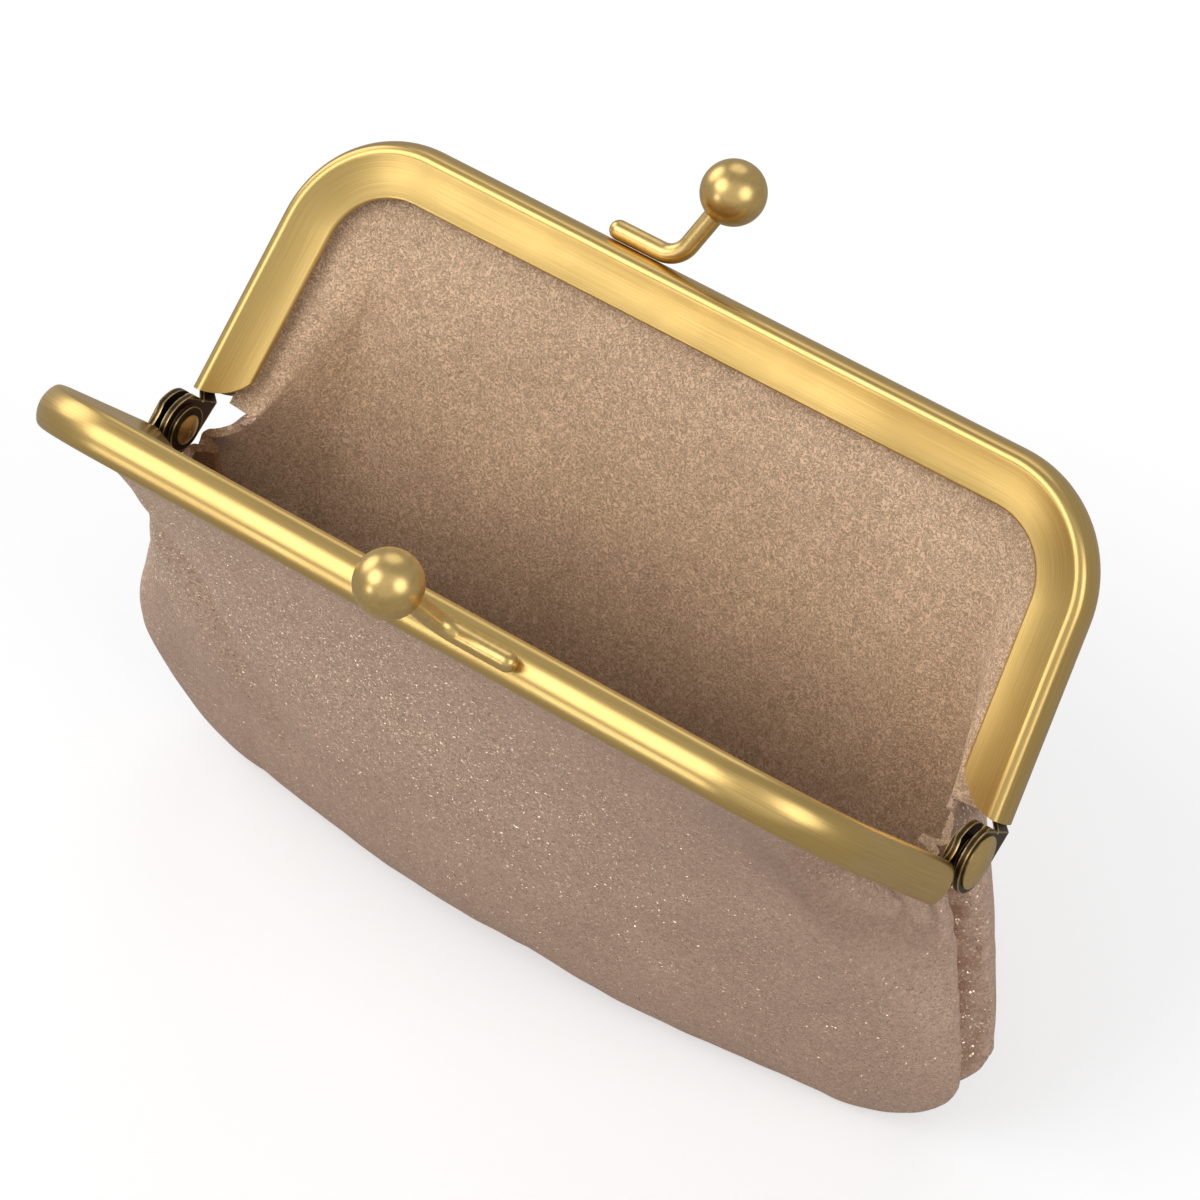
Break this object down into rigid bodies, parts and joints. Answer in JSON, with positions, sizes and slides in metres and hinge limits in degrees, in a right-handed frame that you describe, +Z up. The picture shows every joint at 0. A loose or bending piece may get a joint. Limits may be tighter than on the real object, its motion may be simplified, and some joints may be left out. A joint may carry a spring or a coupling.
{
  "type": "kiss lock frame purse",
  "caption": "Open clutch purse of pebbled hide on a hinged brass channel frame with a ball clasp.",
  "frame": {"origin": "on the ground under the middle of the hinge axis, in the bag's flat base", "axes": "+X along the hinge axis, +Y towards the back half, +Z up"},
  "size_m": [0.1306, 0.0892, 0.1047],
  "materials": {
    "brass": "brushed satin",
    "hide": "pebbled metallic grain",
    "suede": "napped flesh side",
    "paper": "twisted paper"
  },
  "bodies": {
    "pouch": {"left_rivet": "brass", "right_rivet": "brass", "left_spacer": "brass", "right_spacer": "brass", "left_washer": "brass", "right_washer": "brass", "front_panel": "hide", "back_panel": "hide"},
    "front_half": {"front_frame": "brass", "front_left_leaf": "brass", "front_right_leaf": "brass", "front_clasp_arm": "brass", "front_clasp_ball": "brass", "front_paper_cord": "paper", "front_hide_edge": "suede"},
    "back_half": {"back_frame": "brass", "back_left_leaf": "brass", "back_right_leaf": "brass", "back_clasp_arm": "brass", "back_clasp_ball": "brass", "back_paper_cord": "paper", "back_hide_edge": "suede"}
  },
  "joints": [
    {"name": "front_hinge", "type": "hinge", "parent": "pouch", "child": "front_half", "pos_m": [0, 0, 0.0555], "axis": [-1, 0, 0], "range_deg": [0, 39]},
    {"name": "back_hinge", "type": "hinge", "parent": "pouch", "child": "back_half", "pos_m": [0, 0, 0.0555], "axis": [1, 0, 0], "range_deg": [0, 46]}
  ],
  "couplings": [
    {"joint": "back_hinge", "follows": "front_hinge", "ratio": 1.1795}
  ]
}
